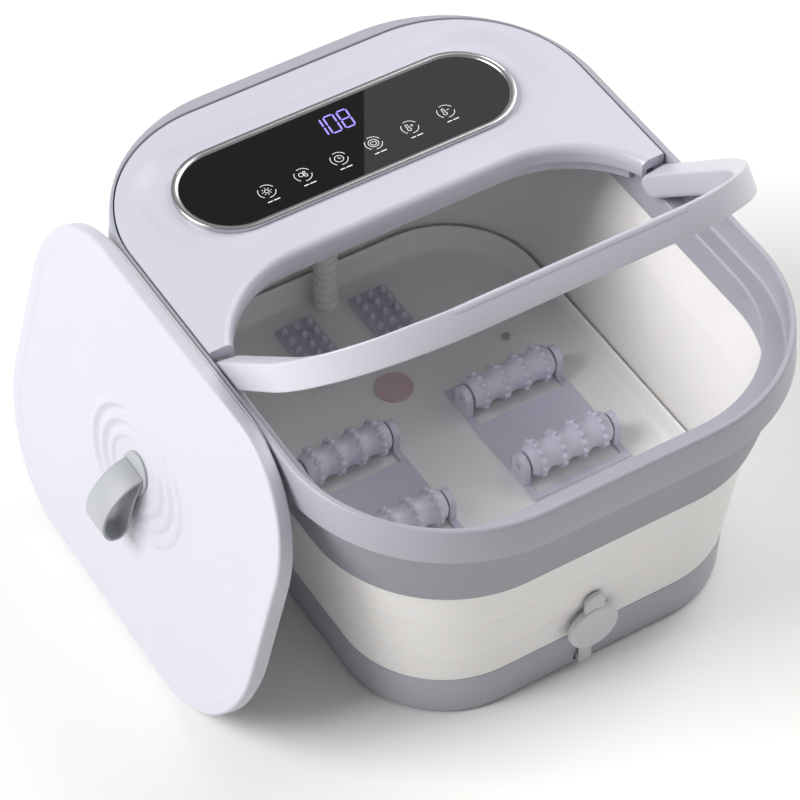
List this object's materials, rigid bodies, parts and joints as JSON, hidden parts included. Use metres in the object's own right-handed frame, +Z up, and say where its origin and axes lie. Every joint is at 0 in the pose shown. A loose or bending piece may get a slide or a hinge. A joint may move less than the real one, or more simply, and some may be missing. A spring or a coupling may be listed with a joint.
{
  "type": "foot spa basin",
  "caption": "Collapsible foot spa basin with a raised carrying bow, a separate lid leaning on its side, a touch-control deck, massage rollers, a soft folding wall and a front drain plug.",
  "frame": {"origin": "centre of the underside, on the lower face of the middle rubber foot, which lies on the floor", "axes": "+Z up, +Y from the basin's front (drain plug) to its back (control deck), +X to the right of someone who stands in front and looks at the deck"},
  "size_m": [0.4342, 0.4338, 0.3457],
  "materials": {
    "rim_white": "pearl white gloss ABS",
    "wall_white": "white TPE, matt",
    "base_white": "pearl white ABS",
    "deck_pearl": "pearl lilac gloss ABS",
    "panel_glass": "black glossy panel",
    "panel_metal": "polished bezel",
    "bow_lilac": "lilac ABS, satin",
    "grip": "soft grip strip",
    "lid_lilac": "lilac PP, fine texture",
    "strap_lilac": "silicone strap",
    "seal_grey": "silicone",
    "roller_lilac": "lilac ABS",
    "steel": "stainless steel",
    "white_plastic": "white nylon",
    "black_rubber": "black rubber",
    "pump_case": "black nylon",
    "motor_steel": "zinc plated",
    "heater_red": "PTC heater in polyimide",
    "circuit_green": "FR4 board",
    "display": "LED digit module",
    "lens": "translucent red lens"
  },
  "bodies": {
    "base": {"base_shell": "base_white", "tub_floor": "base_white", "bottom_cover": "base_white", "cover_screws": "steel", "rubber_feet": "black_rubber", "heater_plate": "steel", "heater_element": "heater_red", "thermal_cutoff": "motor_steel", "temperature_probe": "steel", "light_lens": "lens", "light_board": "circuit_green", "air_pump": "pump_case", "pump_motor": "motor_steel", "pump_pads": "black_rubber", "air_hose": "black_rubber", "air_box": "white_plastic", "power_board": "circuit_green", "board_standoffs": "white_plastic", "transformer": "motor_steel", "relays": "pump_case", "cord_gland": "black_rubber", "drain_spout": "white_plastic", "plug_tether": "seal_grey", "roller_cradle_left": "roller_lilac", "roller_cradle_right": "roller_lilac", "roller_axles": "steel", "nub_strip_left": "roller_lilac", "nub_strip_right": "roller_lilac", "folding_wall": "wall_white", "wire_bellows": "wall_white"},
    "upper_frame": {"rim_frame": "rim_white", "skirt_ring": "rim_white", "deck_cover": "deck_pearl", "deck_tray": "deck_pearl", "panel_bezel": "panel_metal", "panel_glass": "panel_glass", "touch_board": "circuit_green", "digit_display": "display", "deck_standoffs": "white_plastic", "control_board": "circuit_green", "buzzer": "pump_case", "driver_chip": "pump_case", "tray_screws": "steel", "pivot_pins": "steel", "pivot_washers": "white_plastic"},
    "handle": {"handle_bow": "bow_lilac", "grip_strip": "grip"},
    "lid": {"lid_shell": "lid_lilac", "lid_liner": "lid_lilac", "lid_gasket": "seal_grey", "strap_boss": "lid_lilac", "strap_screw": "steel", "pull_strap": "strap_lilac"},
    "plug": {"drain_plug": "seal_grey"},
    "roller_left_front": {"roller_left_front": "roller_lilac"},
    "roller_left_rear": {"roller_left_rear": "roller_lilac"},
    "roller_right_front": {"roller_right_front": "roller_lilac"},
    "roller_right_rear": {"roller_right_rear": "roller_lilac"}
  },
  "joints": [
    {"name": "basin_fold", "type": "slide", "parent": "base", "child": "upper_frame", "axis": [0, 0, -1], "range_m": [0, 0.115], "deforming": ["folding_wall", "wire_bellows"]},
    {"name": "handle_swing", "type": "hinge", "parent": "upper_frame", "child": "handle", "pos_m": [0, -0.005, 0.2135], "axis": [-1, 0, 0], "range_deg": [-42, 50]},
    {"name": "lid_away", "type": "slide", "parent": "base", "child": "lid", "axis": [-1, 0, 0], "range_m": [0, 0.15]},
    {"name": "plug_pull", "type": "slide", "parent": "base", "child": "plug", "axis": [0, -1, 0], "range_m": [0, 0.003]},
    {"name": "roller_left_front_spin", "type": "hinge", "parent": "base", "child": "roller_left_front", "pos_m": [-0.066, -0.05, 0.0525], "axis": [1, 0, 0], "continuous": true},
    {"name": "roller_left_rear_spin", "type": "hinge", "parent": "base", "child": "roller_left_rear", "pos_m": [-0.066, 0.022, 0.0525], "axis": [1, 0, 0], "continuous": true},
    {"name": "roller_right_front_spin", "type": "hinge", "parent": "base", "child": "roller_right_front", "pos_m": [0.066, -0.05, 0.0525], "axis": [1, 0, 0], "continuous": true},
    {"name": "roller_right_rear_spin", "type": "hinge", "parent": "base", "child": "roller_right_rear", "pos_m": [0.066, 0.022, 0.0525], "axis": [1, 0, 0], "continuous": true}
  ]
}
